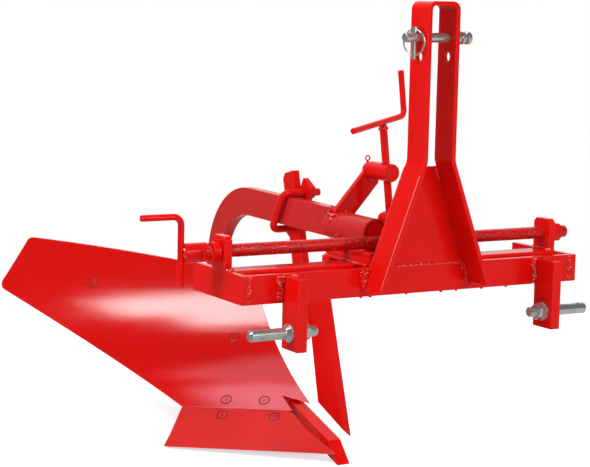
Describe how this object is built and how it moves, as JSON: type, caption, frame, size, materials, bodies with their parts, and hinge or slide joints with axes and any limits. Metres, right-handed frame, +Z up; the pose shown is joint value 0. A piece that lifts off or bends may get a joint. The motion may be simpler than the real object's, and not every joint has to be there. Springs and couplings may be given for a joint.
{
  "type": "single-furrow mouldboard plough",
  "caption": "Three-point-mounted mouldboard plough with bar point, knife coulter, gooseneck beam, sliding and rolling beam carriage, crank screw and hitch pins.",
  "frame": {"origin": "centre of the base of the whole plough's bounding box, on the ground line of the point and landside", "axes": "-Y is the direction of travel, +Y points back along the beam, +Z up, -X the furrow side (right of travel), +X the land side"},
  "size_m": [0.99, 1.1432, 0.9666],
  "materials": {
    "red_paint": "glossy red paint over rough welds",
    "zinc_plate": "bright zinc plating"
  },
  "bodies": {
    "frame": {"front_bar": "red_paint", "rear_bar": "red_paint", "end_plate_furrow_side": "red_paint", "end_plate_land_side": "red_paint", "hitch_lug_furrow_side": "red_paint", "hitch_lug_land_side": "red_paint", "lower_pin_furrow_side": "zinc_plate", "lower_pin_land_side": "zinc_plate", "lower_pin_nut_furrow_side": "zinc_plate", "lower_pin_nut_land_side": "zinc_plate", "screw_bearing_furrow_side": "red_paint", "screw_bearing_land_side": "red_paint", "headstock_strap": "red_paint", "headstock_gusset": "red_paint", "top_pin": "zinc_plate", "linch_pin": "zinc_plate", "linch_pin_ring": "zinc_plate"},
    "lateral_screw": {"lateral_screw": "red_paint", "lock_pin": "red_paint", "lock_pin_ring": "red_paint", "screw_collar": "red_paint", "crank_hub": "red_paint", "crank_handle": "red_paint", "screw_end_nut": "red_paint"},
    "carriage": {"carriage_plate": "red_paint", "carriage_flanges": "red_paint", "carriage_keeper": "red_paint", "clamp_bolts": "red_paint", "screw_nut_block": "red_paint", "pivot_sleeve": "red_paint", "sleeve_saddle": "red_paint", "trunnion_cheeks": "red_paint"},
    "roll_screw": {"roll_trunnion": "red_paint", "roll_screw": "red_paint", "roll_t_handle": "red_paint"},
    "beam": {"bar_point": "red_paint", "beam": "red_paint", "beam_collar": "red_paint", "board_stay": "red_paint", "coulter": "red_paint", "coulter_clamp_nuts": "red_paint", "coulter_clamp_plate": "red_paint", "coulter_u_bolt": "red_paint", "frog_face": "red_paint", "frog_web": "red_paint", "landside": "red_paint", "mouldboard": "red_paint", "pivot_shaft": "red_paint", "plough_bolts": "red_paint", "point_socket": "red_paint", "roll_arm": "red_paint", "roll_pin": "red_paint", "shaft_retainer": "red_paint", "share": "red_paint", "split_pin": "red_paint"}
  },
  "joints": [
    {"name": "lateral_screw_spin", "type": "hinge", "parent": "frame", "child": "lateral_screw", "pos_m": [0.05763, -0.41413, 0.4901], "axis": [1, 0, 0], "continuous": true},
    {"name": "carriage_slide", "type": "slide", "parent": "frame", "child": "carriage", "axis": [1, 0, 0], "range_m": [-0.15, 0.15]},
    {"name": "beam_roll", "type": "hinge", "parent": "carriage", "child": "beam", "pos_m": [0.02763, -0.34363, 0.5046], "axis": [0, 1, 0], "range_deg": [-8, 8]},
    {"name": "roll_screw_swing", "type": "hinge", "parent": "carriage", "child": "roll_screw", "pos_m": [0.10562, -0.33163, 0.5216], "axis": [0, 1, 0], "range_deg": [-8.8, 8.8]}
  ],
  "couplings": [
    {"joint": "roll_screw_swing", "follows": "beam_roll", "ratio": 1.08}
  ]
}
